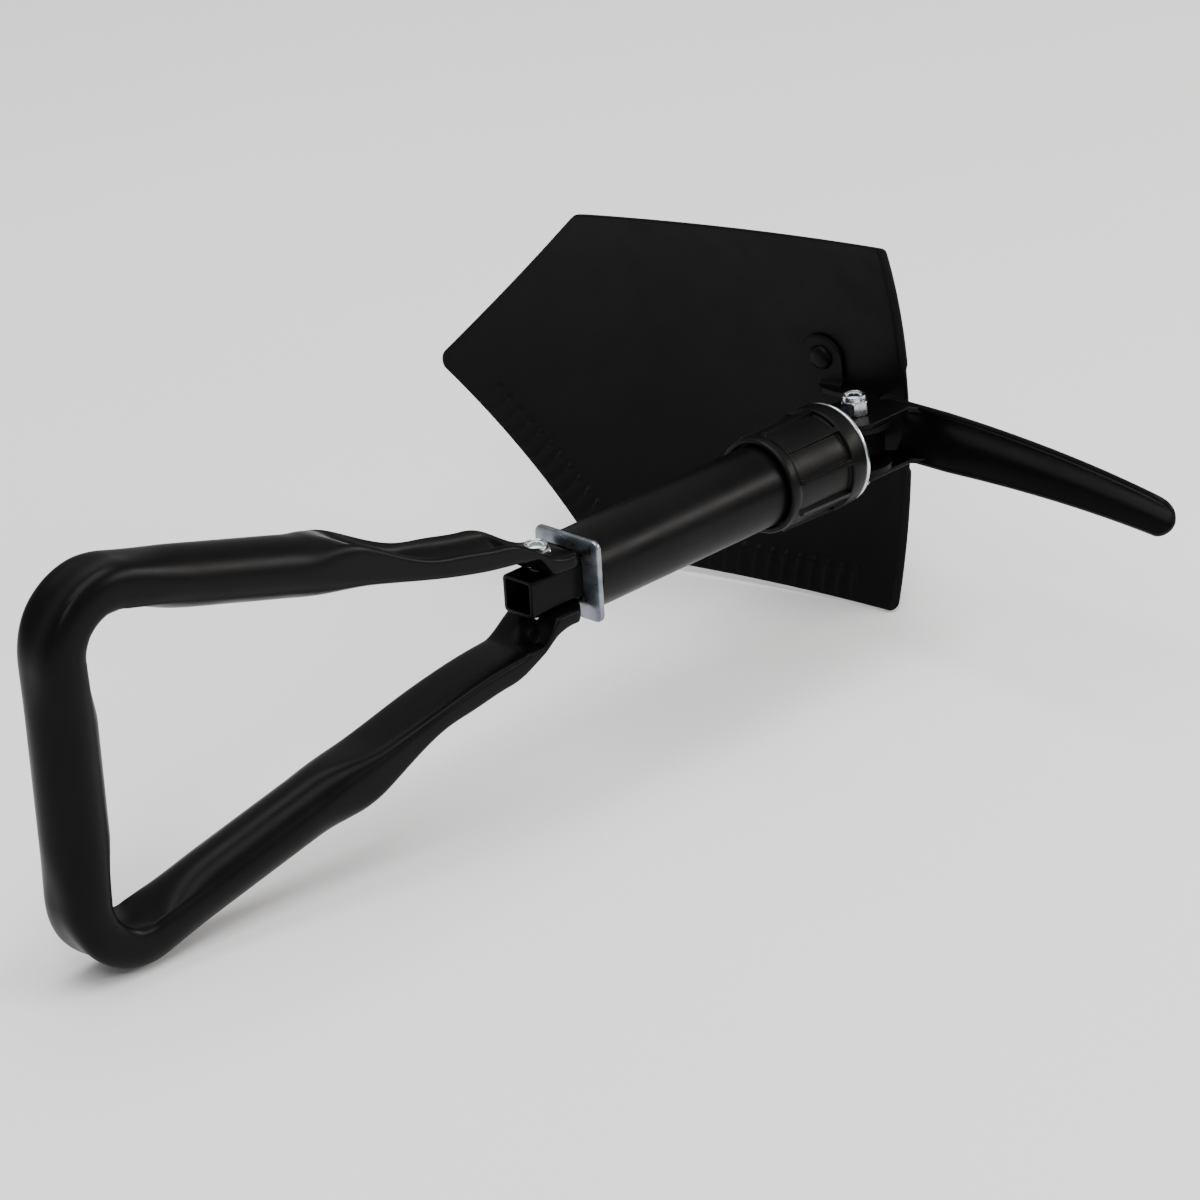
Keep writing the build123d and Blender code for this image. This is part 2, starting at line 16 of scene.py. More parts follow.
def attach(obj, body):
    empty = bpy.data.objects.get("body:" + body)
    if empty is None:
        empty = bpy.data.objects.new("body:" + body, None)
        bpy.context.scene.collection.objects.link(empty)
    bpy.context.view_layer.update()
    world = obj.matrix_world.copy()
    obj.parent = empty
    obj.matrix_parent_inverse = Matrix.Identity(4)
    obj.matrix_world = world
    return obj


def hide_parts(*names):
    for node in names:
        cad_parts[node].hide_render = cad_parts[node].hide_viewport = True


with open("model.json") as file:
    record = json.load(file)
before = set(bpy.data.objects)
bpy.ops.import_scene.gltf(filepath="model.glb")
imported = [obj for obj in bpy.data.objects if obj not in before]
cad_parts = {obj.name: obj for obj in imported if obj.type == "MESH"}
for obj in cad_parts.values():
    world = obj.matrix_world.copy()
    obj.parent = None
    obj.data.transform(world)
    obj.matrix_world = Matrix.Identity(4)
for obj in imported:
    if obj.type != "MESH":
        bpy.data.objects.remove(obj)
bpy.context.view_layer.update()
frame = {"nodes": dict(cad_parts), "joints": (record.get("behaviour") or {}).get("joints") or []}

MM = 0.001
joints = {joint["name"]: joint for joint in frame["joints"]}
HEAD = np.array(joints["blade_fold"]["pos_m"]) / MM
REAR = np.array(joints["handle_fold"]["pos_m"]) / MM

# How far the blade and the handle are turned about their pivots at rest.
BLADE_ANGLE = radians(13.6)
HANDLE_ANGLE = radians(3.8)

WELD = 2e-6
EMPTY_EDGE = 1e-6
BEVEL_FROM = radians(40)


# ---- meshes from arrays of points ----------------------------------------------------


def weave(rows, columns, wrap):
    """Quads that join a grid of rows and columns, closing each row on itself if wrap."""
    reach = columns if wrap else columns - 1
    row, column = np.meshgrid(np.arange(rows - 1), np.arange(reach), indexing="ij")
    after = (column + 1) % columns
    first = row * columns
    second = (row + 1) * columns
    quads = np.stack([first + column, first + after, second + after, second + column], -1)
    return quads.reshape(-1, 4)


def shell(loops, close_rows=False):
    """Points and faces of a tube of closed loops: round each loop, and on from loop to loop.

    close_rows joins the last loop to the first, as on a ring. Otherwise a cap shuts each end."""
    loops = np.asarray(loops, float)
    rows, columns = loops.shape[:2]
    points = loops.reshape(-1, 3)
    if close_rows:
        quads = weave(rows + 1, columns, True) % (rows * columns)
        return points, [quads]
    first_cap = np.arange(columns)[None, ::-1]
    last_cap = np.arange(columns)[None] + (rows - 1) * columns
    return points, [weave(rows, columns, True), first_cap, last_cap]


def prism(outline, low, high):
    """Points and faces of a flat outline in X and Y, carried along Z from low to high."""
    ring = np.c_[outline, np.zeros(len(outline))]
    return shell(np.stack([ring + (0, 0, low), ring + (0, 0, high)]))


def turned(profile, sides, axis="z", radius_at=None):
    """Points and faces of a profile of (height, radius) turned about an axis.

    radius_at(height, radius, angle) changes the radius round the turn. The profile is a
    closed path, so the last height joins the first. sides is a count, or the angles."""
    heights, radii = np.asarray(profile, float).T
    angle = np.arange(sides) / sides * 2 * pi if np.isscalar(sides) else sides
    radius = np.repeat(radii[:, None], len(angle), 1)
    if radius_at is not None:
        radius = radius_at(heights[:, None], radius, angle[None])
    along = np.repeat(heights[:, None], len(angle), 1)
    one, two = radius * np.cos(angle), radius * np.sin(angle)
    if axis == "z":
        return shell(np.stack([one, two, along], -1), close_rows=True)
    return shell(np.stack([along, one, two], -1), close_rows=True)


def joined(*parts):
    """One list of points and faces from several."""
    points, faces, count = [], [], 0
    for part_points, part_faces in parts:
        points.append(part_points)
        faces.extend(face + count for face in part_faces)
        count += len(part_points)
    return np.concatenate(points), faces


def turn_about_z(points, angle):
    """Points turned by an angle about the Z axis through zero."""
    x, y, z = points.T
    return np.stack([x * cos(angle) - y * sin(angle), x * sin(angle) + y * cos(angle), z], 1)


def piece(name, shape, origin, body, nodes, finish, sharp=32.0, bevel=0.0):
    """A finished object from points in millimetres about origin, riding on its body."""
    points, faces = shape
    mesh = bpy.data.meshes.new(name)
    rows = [row for block in faces for row in block.tolist()]
    mesh.from_pydata(((points + origin) * MM).tolist(), [], rows)
    mesh.validate()
    made = bpy.data.objects.new(name, mesh)
    bpy.context.scene.collection.objects.link(made)
    tidy_mesh(mesh)
    mesh.shade_smooth()
    mesh.set_sharp_from_angle(angle=radians(sharp))
    mesh.materials.append(finish)
    if bevel:
        edge = made.modifiers.new("edge", "BEVEL")
        edge.width = bevel * MM
        edge.segments = 2
        edge.limit_method = "ANGLE"
        edge.angle_limit = BEVEL_FROM
    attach(made, body)
    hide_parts(*nodes)


def tidy_mesh(mesh):
    """Joins points that meet, drops empty faces and turns every face outwards."""
    work = bmesh.new()
    work.from_mesh(mesh)
    bmesh.ops.remove_doubles(work, verts=work.verts, dist=WELD)
    bmesh.ops.dissolve_degenerate(work, edges=work.edges, dist=EMPTY_EDGE)
    bmesh.ops.recalc_face_normals(work, faces=work.faces)
    work.to_mesh(mesh)
    work.free()


def ease(value):
    """A smooth step from 0 to 1."""
    value = np.clip(value, 0, 1)
    return value * value * (3 - 2 * value)


# ---- finishes ------------------------------------------------------------------------

COAT_SHINE = 0.085
PLASTIC_SHINE = 0.10


def finish_nodes(name, colour, roughness, metallic=0.0):
    """A new material, its shader and its texture coordinates."""
    material = bpy.data.materials.new(name)
    material.use_nodes = True
    nodes = material.node_tree.nodes
    shader = nodes["Principled BSDF"]
    shader.inputs["Base Color"].default_value = (*colour, 1)
    shader.inputs["Roughness"].default_value = roughness
    shader.inputs["Metallic"].default_value = metallic
    where = nodes.new("ShaderNodeTexCoord")
    return material, shader, where


def noise(material, where, scale, detail=3.0, rough=0.5):
    """A noise texture on the object's own coordinates."""
    made = material.node_tree.nodes.new("ShaderNodeTexNoise")
    made.inputs["Scale"].default_value = scale
    made.inputs["Detail"].default_value = detail
    made.inputs["Roughness"].default_value = rough
    material.node_tree.links.new(where.outputs["Object"], made.inputs["Vector"])
    return made


def ramp(material, source, low, high, start=0.35, stop=0.65):
    """A colour ramp from low to high over part of a source's range."""
    made = material.node_tree.nodes.new("ShaderNodeValToRGB")
    made.color_ramp.elements[0].position = start
    made.color_ramp.elements[0].color = low
    made.color_ramp.elements[1].position = stop
    made.color_ramp.elements[1].color = high
    material.node_tree.links.new(source, made.inputs["Fac"])
    return made


def grey(value):
    """An opaque grey."""
    return (value, value, value, 1)


def grain(material, shader, where, scale, height, strength):
    """A fine even bump: the skin of powder coat or of moulded plastic."""
    texture = noise(material, where, scale, 2.0)
    bump = material.node_tree.nodes.new("ShaderNodeBump")
    bump.inputs["Distance"].default_value = height
    bump.inputs["Strength"].default_value = strength
    material.node_tree.links.new(texture.outputs["Fac"], bump.inputs["Height"])
    material.node_tree.links.new(bump.outputs["Normal"], shader.inputs["Normal"])


def coated_steel(name, dark, light, smooth, rough, skin=0.35):
    """Black powder coat: nearly black, a little uneven in gloss, with a fine pebbled skin."""
    material, shader, where = finish_nodes(name, dark, smooth)
    shader.inputs["Specular IOR Level"].default_value = COAT_SHINE
    cloud = noise(material, where, 22.0, 4.0)
    tint = ramp(material, cloud.outputs["Fac"], (*dark, 1), (*light, 1))
    material.node_tree.links.new(tint.outputs["Color"], shader.inputs["Base Color"])
    patch = noise(material, where, 55.0, 5.0, 0.6)
    gloss = ramp(material, patch.outputs["Fac"], grey(smooth), grey(rough))
    material.node_tree.links.new(gloss.outputs["Color"], shader.inputs["Roughness"])
    grain(material, shader, where, 1500.0, 0.00006, skin)
    return material


def zinc_plate(name, dark, light, smooth, rough):
    """Bright zinc plating: blue-white metal with soft clouds and short rolling marks."""
    material, shader, where = finish_nodes(name, light, smooth, 1.0)
    cloud = noise(material, where, 160.0, 4.0)
    tint = ramp(material, cloud.outputs["Fac"], (*dark, 1), (*light, 1), 0.3, 0.7)
    material.node_tree.links.new(tint.outputs["Color"], shader.inputs["Base Color"])
    patch = noise(material, where, 420.0, 3.0)
    gloss = ramp(material, patch.outputs["Fac"], grey(smooth), grey(rough))
    material.node_tree.links.new(gloss.outputs["Color"], shader.inputs["Roughness"])
    grain(material, shader, where, 900.0, 0.00004, 0.25)
    return material


def moulded(name, dark, light, smooth, rough):
    """Moulded black plastic: a fine matt grain, a touch shinier where hands rub it."""
    material, shader, where = finish_nodes(name, dark, smooth)
    shader.inputs["Specular IOR Level"].default_value = PLASTIC_SHINE
    cloud = noise(material, where, 60.0, 3.0)
    tint = ramp(material, cloud.outputs["Fac"], (*dark, 1), (*light, 1))
    material.node_tree.links.new(tint.outputs["Color"], shader.inputs["Base Color"])
    gloss = ramp(material, cloud.outputs["Fac"], grey(rough), grey(smooth))
    material.node_tree.links.new(gloss.outputs["Color"], shader.inputs["Roughness"])
    grain(material, shader, where, 2200.0, 0.00005, 0.45)
    return material


TUBE_BLACK = ((0.0016, 0.0015, 0.0016), (0.0026, 0.0024, 0.0026))
SHEET_BLACK = ((0.0024, 0.0022, 0.0025), (0.0034, 0.0031, 0.0034))
ZINC_BRIGHT = ((0.34, 0.38, 0.42), (0.66, 0.70, 0.73))
ZINC_DULL = ((0.15, 0.17, 0.20), (0.27, 0.295, 0.33))
PLASTIC_BLACK = ((0.0022, 0.0021, 0.0021), (0.0032, 0.0031, 0.0031))
NYLON_WHITE = ((0.50, 0.53, 0.52), (0.60, 0.62, 0.60))

black_tube = coated_steel("black_tube_coat", *TUBE_BLACK, 0.30, 0.38)
black_sheet = coated_steel("black_sheet_coat", *SHEET_BLACK, 0.42, 0.52)
zinc = zinc_plate("bright_zinc", *ZINC_BRIGHT, 0.17, 0.28)
zinc_sheet = zinc_plate("zinc_sheet", *ZINC_DULL, 0.26, 0.38)
collar_plastic = moulded("collar_plastic", *PLASTIC_BLACK, 0.32, 0.42)
nylon = moulded("nylon_ring", *NYLON_WHITE, 0.32, 0.42)


# ---- blade ---------------------------------------------------------------------------

DISH_FACE = 31.88
DISH_MIDDLE = 59.4
ACROSS = 181.25
ALONG = 597.8
BACK = -8.6
SHOULDER = 129.5
POINT = 201.3
BACK_HALF = 76.0
SHOULDER_HALF = 72.5
SHEET = 2.0
TIP_ROUND = 6.0
BACK_CORNER = 3.0
RIB_LENGTH = 12.4
RIB_WIDTH = 1.2
RIB_RISE = 1.15
SIDE_RIBS = 18
POINT_RIBS = 12
LIP_RISE = 1.5
FACE_COLUMNS = 96


def dish(along, z):
    """Distance of the blade's hollow face in front of the pivot: two shallow arcs, summed."""
    fall = ALONG - np.sqrt(ALONG**2 - (along - DISH_MIDDLE) ** 2)
    return DISH_FACE - fall - ACROSS + np.sqrt(ACROSS**2 - z**2)


def blade_half(along):
    """Half width of the blade: straight sides, a straight-sided point and rounded corners."""
    side = BACK_HALF + (along - BACK) / (SHOULDER - BACK) * (SHOULDER_HALF - BACK_HALF)
    point = SHOULDER_HALF * (POINT - along) / (POINT - SHOULDER)
    half = (side + point) / 2 - np.sqrt(((side - point) / 2) ** 2 + 0.5)
    lean = atan2(SHOULDER_HALF, POINT - SHOULDER)
    middle = POINT - TIP_ROUND / sin(lean)
    tip = np.sqrt(np.maximum(TIP_ROUND**2 - (along - middle) ** 2, 0))
    half = np.where(along > middle + TIP_ROUND * sin(lean), tip, half)
    inset = np.clip(BACK + BACK_CORNER - along, 0, BACK_CORNER)
    return half - BACK_CORNER + np.sqrt(BACK_CORNER**2 - inset**2)


def stamped_ribs(along, z):
    """Height of the short ribs pressed in across the blade's lower edges.

    Each rib is a narrow ridge that starts near the edge and ends in a small round bump."""
    height = np.zeros_like(along)
    run = np.array([POINT - SHOULDER, SHOULDER_HALF])
    run = run / np.hypot(*run)
    side_edge = BACK_HALF + (along - BACK) / (SHOULDER - BACK) * (SHOULDER_HALF - BACK_HALF)
    past, above = along - SHOULDER, z + SHOULDER_HALF
    # Each row: distance along its edge, depth in from it, first rib, pitch, count, fading.
    side_row = (along, side_edge + z, 12.0, 6.5, SIDE_RIBS, 0.0)
    point_row = (past * run[0] + above * run[1], above * run[0] - past * run[1], 8.0, 6.2, POINT_RIBS, 0.75)
    for travel, depth, start, pitch, count, fade in (side_row, point_row):
        for number in range(count):
            strength = 1 - fade * ease((number - 3) / (count - 3))
            off = travel - (start + number * pitch)
            across = np.exp(-((off / RIB_WIDTH) ** 2))
            ridge = across * ease((depth - 0.6) / 2.4) * ease((RIB_LENGTH + 0.8 - depth) / 1.6)
            bump = 0.8 * np.exp(-((off / 1.15) ** 2) - ((depth - RIB_LENGTH + 0.4) / 1.15) ** 2)
            height += strength * RIB_RISE * (ridge * (0.55 + 0.45 * ease(depth / RIB_LENGTH)) + bump)
    return np.minimum(height, 1.8)


def blade_shape():
    """The blade as closed loops across it, from its back edge to its tip.

    A loop runs over the hollow face, round one edge, back over the outer face and round
    the other. The faces are dish(along, z) and a sheet's thickness behind it."""
    tip = POINT - TIP_ROUND / sin(atan2(SHOULDER_HALF, POINT - SHOULDER)) + TIP_ROUND
    along = np.concatenate(
        [
            BACK + 1 - np.cos(np.linspace(0.05, pi / 2, 7)),
            np.linspace(BACK + 1.3, BACK + 6, 12),
            np.linspace(BACK + 6.5, SHOULDER, 176),
            np.linspace(SHOULDER + 0.45, tip - 1.2, 150),
            tip - 1.2 + 1.2 * np.sin(np.linspace(0.1, 1.5, 10)),
        ]
    )
    share = np.linspace(0, 1, FACE_COLUMNS)
    spread = -1 + 2 * share**1.6
    turn = np.linspace(-pi / 2, pi / 2, 7)[1:-1]
    half = blade_half(along)
    thin = np.sqrt(np.clip(1 - np.clip(BACK + 1 - along, 0, 1) ** 2, 1e-3, 1))
    thin *= np.sqrt(np.clip((tip - along) / 1.2, 1e-3, 1))
    inner = np.maximum(half - SHEET / 2, half * 0.2)
    round_reach = half - inner
    face_z = inner[:, None] * spread[None]
    top_z = inner[:, None] + round_reach[:, None] * np.cos(turn)
    z = np.concatenate([face_z, top_z, face_z[:, ::-1], -top_z[:, ::-1]], 1)
    face = np.ones(FACE_COLUMNS)
    level = np.concatenate([-face, np.sin(turn), face, np.sin(turn[::-1])])
    step = np.repeat(along[:, None], z.shape[1], 1)
    ribs = stamped_ribs(step, z)
    lip = LIP_RISE * ease((BACK + 3.2 - step) / 3.2) ** 1.3 * ease((np.abs(z) - 20.5) / 2.0)
    middle = dish(step, z) + SHEET / 2 - ribs * np.where(level > 0, 0.85, 1.0) + lip
    x = middle + level[None] * thin[:, None] * SHEET / 2
    points, faces = shell(np.stack([x, step, z], -1))
    return turn_about_z(points, BLADE_ANGLE), faces


piece("dished_blade", blade_shape(), HEAD, "blade", ["blade"], black_sheet, 50)

EAR = 14.2
INNER_EAR = 7.6
OUTER_EAR = 9.7
EAR_SHEET = 2.0
RIVET_AT = 29.0
RIVET_OUT = 21.0
LOBE = 9.2
LOBE_COLUMNS = 24
FLAP_FILLET = 2.2


def arc(radius, start, stop, count):
    """Points on a circle about zero between two angles in degrees."""
    angle = np.radians(np.linspace(start, stop, count))
    return np.stack([radius * np.cos(angle), radius * np.sin(angle)], 1)


def bracket_shape():
    """Two ears on the head pivot, each with a lobed flap that lies on the blade's face.

    An ear is a flat outline made 2 mm thick. A flap is the layer 2 mm thick on the dish,
    from the ear out to a half circle about its rivet."""
    parts = []
    face_near = float(dish(3.5, 8.6)) + 0.4
    face_far = float(dish(30.5, 8.6)) + 0.4
    outline = np.concatenate(
        [
            arc(EAR, 90, 315, 48),
            [(EAR + 3, 1.0), (face_near, 3.5), (face_far, 30.5), (26.6, 29.6), (24.0, 26.8)],
            [(22.0, 21.0), (21.4, EAR + 1.2), (20.2, EAR)],
        ]
    )
    for side in (-1, 1):
        low = INNER_EAR if side > 0 else -INNER_EAR - EAR_SHEET
        parts.append(prism(outline, low, low + EAR_SHEET))
        y = RIVET_AT - LOBE * np.cos(np.linspace(0, pi, 41))
        reach = RIVET_OUT + np.sqrt(np.maximum(LOBE**2 - (y - RIVET_AT) ** 2, 0))
        share = np.linspace(0, 1, LOBE_COLUMNS)
        root_z = INNER_EAR + 0.3 + 1.1 * np.maximum(y - 30.0, 0)
        z = root_z[:, None] + share[None] * (reach - root_z)[:, None]
        step = np.repeat(y[:, None], LOBE_COLUMNS, 1)
        under, over = dish(step, z) + 0.02, dish(step, z) - EAR_SHEET
        crown = 0.7 * (1 - ease((reach[:, None] - z) / 1.2))
        over = over + crown
        loops = np.stack(
            [
                np.concatenate([over, under[:, ::-1]], 1),
                np.concatenate([step, step[:, ::-1]], 1),
                side * np.concatenate([z, z[:, ::-1]], 1),
            ],
            -1,
        )
        parts.append(shell(loops))
        root = np.linspace(0, pi / 2, 7)
        corner_z = INNER_EAR + EAR_SHEET
        runs = np.linspace(RIVET_AT - LOBE + 0.4, 29.8, 12)[:, None]
        ring_z = corner_z + FLAP_FILLET - FLAP_FILLET * np.sin(root)
        ring_z = np.concatenate([ring_z, [corner_z - 0.6]])[None]
        drop = np.concatenate([FLAP_FILLET - FLAP_FILLET * np.cos(root), [-0.6]])
        top = dish(runs, ring_z) - EAR_SHEET
        parts.append(shell(np.stack([top - drop, runs + 0 * ring_z, side * ring_z + 0 * runs], -1)))
    points, faces = joined(*parts)
    return turn_about_z(points, BLADE_ANGLE), faces


piece("blade_ears", bracket_shape(), HEAD, "blade", ["blade_bracket"], black_sheet, 40, 0.3)


def rivet_shape():
    """Two domed rivet heads on the flaps and their flat heads behind the blade."""
    parts = []
    dome = np.linspace(0, pi / 2, 12)
    radius, rise = 5.2, 2.7
    profile = [(-1.0, 0.01), (-1.0, radius * 0.97)]
    profile += [(rise * sin(t), max(radius * cos(t), 0.01)) for t in dome]
    behind = [(0.3, 0.01), (0.3, 4.9), (-0.5, 5.1), (-0.9, 4.6), (-0.9, 0.01)]
    for side in (-1, 1):
        lean = asin(side * RIVET_OUT / ACROSS)
        pitch = asin((DISH_MIDDLE - RIVET_AT) / ALONG)
        level = np.array([-cos(pitch), sin(pitch), 0])
        outward = cos(lean) * level - sin(lean) * np.array([0, 0, 1.0])
        across = np.cross([0, 0, 1.0], outward)
        across /= np.linalg.norm(across)
        up = np.cross(outward, across)
        seat = np.array([float(dish(RIVET_AT, RIVET_OUT)), RIVET_AT, side * RIVET_OUT])
        for path, shift in ((profile, EAR_SHEET), (behind, -SHEET)):
            points, faces = turned(path, 48)
            points = seat + points[:, :1] * across + points[:, 1:2] * up
            heights = np.repeat(np.array(path)[:, 0] + shift, 48)
            points = points + heights[:, None] * outward
            parts.append((points, faces))
    points, faces = joined(*parts)
    return turn_about_z(points, BLADE_ANGLE), faces


piece("domed_rivets", rivet_shape(), HEAD, "blade", ["blade_rivets"], black_tube, 45)


# ---- pick ----------------------------------------------------------------------------

PICK_ROOT = -3.0
PICK_TIP = -147.1
PICK_FACE = 27.0
PICK_SHEET = 2.5
PICK_BEND = -30.0
PICK_BEND_RADIUS = 480.0
PICK_HALF, PICK_TIP_HALF = 13.1, 8.7
PICK_DEPTH, PICK_TIP_DEPTH = 7.8, 5.4


def pick_shape():
    """The pick as closed loops across it: an arc outside, an arc inside and round edges.

    Half width and depth shrink evenly from the bend to the tip, which is a half circle,
    and the whole trough curves towards the handle on a large arc."""
    tip_half = PICK_TIP_HALF
    straight = np.linspace(PICK_ROOT, PICK_TIP + tip_half, 70)
    rounded = PICK_TIP + tip_half - tip_half * np.sin(np.linspace(0.08, pi / 2 - 0.02, 16))
    y = np.concatenate([straight, rounded])
    share = np.clip((y - PICK_BEND) / (PICK_TIP - PICK_BEND), 0, 1)
    half = PICK_HALF + share * (tip_half - PICK_HALF)
    depth = PICK_DEPTH + share * (PICK_TIP_DEPTH - PICK_DEPTH)
    radius = (half**2 + depth**2) / (2 * depth)
    beyond = np.clip((PICK_TIP + tip_half - y) / tip_half, 0, 1)
    half = half * np.sqrt(np.maximum(1 - beyond**2, 1e-4))
    past_bend = np.minimum(y - PICK_BEND, 0)
    web = PICK_FACE - PICK_BEND_RADIUS + np.sqrt(PICK_BEND_RADIUS**2 - past_bend**2)
    middle = radius - PICK_SHEET / 2
    swing = np.arcsin(np.clip((half - PICK_SHEET / 2 * 0.5) / radius, 0, 0.999))
    fan = np.linspace(-1, 1, 36)
    edge = np.linspace(0, pi, 7)[1:-1]
    angle = swing[:, None] * fan[None]
    ones = np.ones_like(angle)
    thick = PICK_SHEET / 2 * np.sqrt(np.maximum(1 - beyond**6, 0.02))[:, None]
    tail = np.ones((len(y), 5))
    angles = np.concatenate([angle, tail * swing[:, None], angle[:, ::-1], -tail * swing[:, None]], 1)
    outward, sideways = np.cos(edge)[None] * tail, np.sin(edge)[None] * tail
    reach = np.concatenate([ones, outward, -ones, -outward], 1)
    slide = np.concatenate([0 * ones, sideways, 0 * ones, -sideways], 1)
    far = middle[:, None] + reach * thick
    x = far * np.cos(angles) - slide * thick * np.sin(angles) * 0.8
    z = far * np.sin(angles) + slide * thick * np.cos(angles) * 0.8
    x = x - radius[:, None] + web[:, None]
    loops = np.stack([x, np.repeat(y[:, None], x.shape[1], 1), z], -1)
    outline = np.concatenate(
        [
            [(20.8, -3.0), (20.8, -20.2), (19.2, -17.6)],
            [(16.9, -13.9), (16.3, -13.3), (15.6, -13.2)],
            arc(EAR, 248.4, 23.4, 60),
        ]
    )
    parts = [shell(loops)]
    for side in (-1, 1):
        low = OUTER_EAR if side > 0 else -OUTER_EAR - EAR_SHEET
        parts.append(prism(outline, low, low + EAR_SHEET))
    return joined(*parts)


piece("trough_pick", pick_shape(), HEAD, "pick", ["pick"], black_tube, 40, 0.35)


# ---- shaft ---------------------------------------------------------------------------


def square_ring(half, corner, count):
    """A square of a given half side with round corners, as count points round it.

    Each quarter is an arc about a corner's centre."""
    angle = np.arange(count) / count * 2 * pi + pi / count
    quarter = np.floor(angle / (pi / 2))
    middle = (quarter + 0.5) * pi / 2
    centre = half - corner
    one = np.sign(np.cos(middle)) * centre + corner * np.cos(angle)
    two = np.sign(np.sin(middle)) * centre + corner * np.sin(angle)
    return np.stack([one, two], 1)


def square_path(stations, count=64):
    """A closed path of rounded squares across X, each station (x, half side, corner)."""
    loops = []
    for x, half, corner in stations:
        ring = square_ring(half, corner, count)
        loops.append(np.c_[np.full(count, x), ring])
    return shell(np.array(loops), close_rows=True)


def tube_stations(start, stop, half, wall, corner, edge):
    """Stations of a square tube with eased ends: along the outside, back along the inside."""
    inside = half - wall
    return [
        (start, half - edge, corner),
        (start + edge * 0.4, half - edge * 0.25, corner),
        (start + edge, half, corner),
        (stop - edge, half, corner),
        (stop - edge * 0.4, half - edge * 0.25, corner),
        (stop, half - edge, corner),
        (stop, inside + 0.15, corner * 0.6),
        (stop - 0.2, inside, corner * 0.6),
        (start + 0.2, inside, corner * 0.6),
        (start, inside + 0.15, corner * 0.6),
    ]


CORE_BACK, CORE_FRONT = -186.5, 9.0
PLATE_BACK, SLEEVE_BACK, SLEEVE_FRONT = -160.5, -158.0, -30.0
SLEEVE_OUTER, SLEEVE_INNER = 16.0, 14.5

core_stations = tube_stations(CORE_BACK, CORE_FRONT, 7.5, 1.6, 2.0, 0.5)
core = square_path(core_stations)
piece("square_core", core, HEAD, "shaft", ["core_tube"], black_tube)

plate_stations = tube_stations(PLATE_BACK, SLEEVE_BACK, 16.0, 8.35, 3.0, 0.7)
plate = square_path(plate_stations)
piece("square_plate", plate, HEAD, "sleeve", ["pressure_plate"], zinc_sheet)

sleeve_profile = [(SLEEVE_BACK, SLEEVE_OUTER), (SLEEVE_FRONT - 0.4, SLEEVE_OUTER)]
sleeve_profile += [(SLEEVE_FRONT, SLEEVE_OUTER - 0.4), (SLEEVE_FRONT, SLEEVE_INNER)]
sleeve_profile += [(SLEEVE_BACK, SLEEVE_INNER)]
sleeve = turned(sleeve_profile, 128, "x")
piece("round_sleeve", sleeve, HEAD, "sleeve", ["sleeve_tube"], black_tube)

disc_profile = [(-16.3, 11.0), (-16.3, 19.9), (-16.1, 20.35), (-15.8, 20.5)]
disc_profile += [(-15.0, 20.5), (-14.7, 20.35), (-14.5, 19.9), (-14.5, 11.0)]
disc = turned(disc_profile, 128, "x")
piece("round_disc", disc, HEAD, "shaft", ["thrust_disc"], zinc, 50)

RIBS = 9
RIB_PHASE = radians(8)


def collar_shape():
    """The lock collar, turned about X, with thin ribs that run on from its front band.

    The radius is that of the panel, raised at each rib to a line that climbs to the band.
    Angles are close together at the ribs' steep sides."""
    panel, band, start, stop = 18.95, 20.8, -52.0, -24.4
    outer = [(-57.0, 18.2), (-56.8, 18.65), (-56.4, 18.9), (-55.8, 19.0)]
    outer += [(-54.0, 19.05), (-52.3, 19.05)]
    outer += [(x, panel) for x in np.linspace(-52.2, -50.2, 14)]
    outer += [(x, panel) for x in np.linspace(-49.5, -25.4, 26)]
    outer += [(-24.9, 18.97), (-24.6, 19.1), (-24.45, 19.4)]
    outer += [(-24.4, 20.4), (-24.2, 20.72), (-23.8, band)]
    outer += [(-18.0, band), (-17.2, 20.72), (-16.7, 20.4), (-16.4, 19.9)]
    inner = [(-16.4, 11.3), (-20.4, 11.3), (-20.4, 17.6), (-54.35, 17.6)]
    inner += [(-54.6, 16.8), (-56.8, 16.8), (-57.0, 17.0)]
    pitch = 2 * pi / RIBS
    edge = np.radians([1.0, 2.0, 2.6, 2.9, 3.15, 3.4, 3.65, 3.9, 4.2, 4.8])
    plain = np.radians(np.linspace(6.0, 34.0, 22))
    offsets = np.concatenate([[0], edge, plain, pitch - edge[::-1]])
    angles = (RIB_PHASE + offsets[None] + pitch * np.arange(RIBS)[:, None]).ravel()

    def ribbed(x, radius, angle):
        off = (angle - RIB_PHASE + pitch / 2) % pitch - pitch / 2
        across = np.degrees(np.abs(off))
        width = ease((4.0 - across) / 1.2)
        share = np.clip((x - start) / (stop - start), 0, 1)
        crest = panel + 1.05 + (band - panel - 1.1) * share
        rib = panel + (crest - panel) * ease((x - start) / 1.3)
        shaped = (radius >= panel - 0.01) & (radius < 20.0) & (x > start - 0.3) & (x < -24.39)
        return np.where(shaped, np.maximum(radius, panel + (rib - panel) * width), radius)

    return turned(outer + inner, angles, "x", ribbed)


collar = collar_shape()
piece("ribbed_collar", collar, HEAD, "collar", ["lock_collar"], collar_plastic, 50)


# ---- M6 hardware ---------------------------------------------------------------------


def hex_radius(flats, turn, cone):
    """Radius rule of a hexagon across flats, cut by a cone at each end of its height."""

    def rule(height, radius, angle):
        sixth = pi / 3
        off = (angle - turn + sixth / 2) % sixth - sixth / 2
        hexagon = flats / 2 / np.cos(off)
        return np.where(radius > flats / 2 - 0.45, np.minimum(hexagon, cone(height)), radius)

    return rule


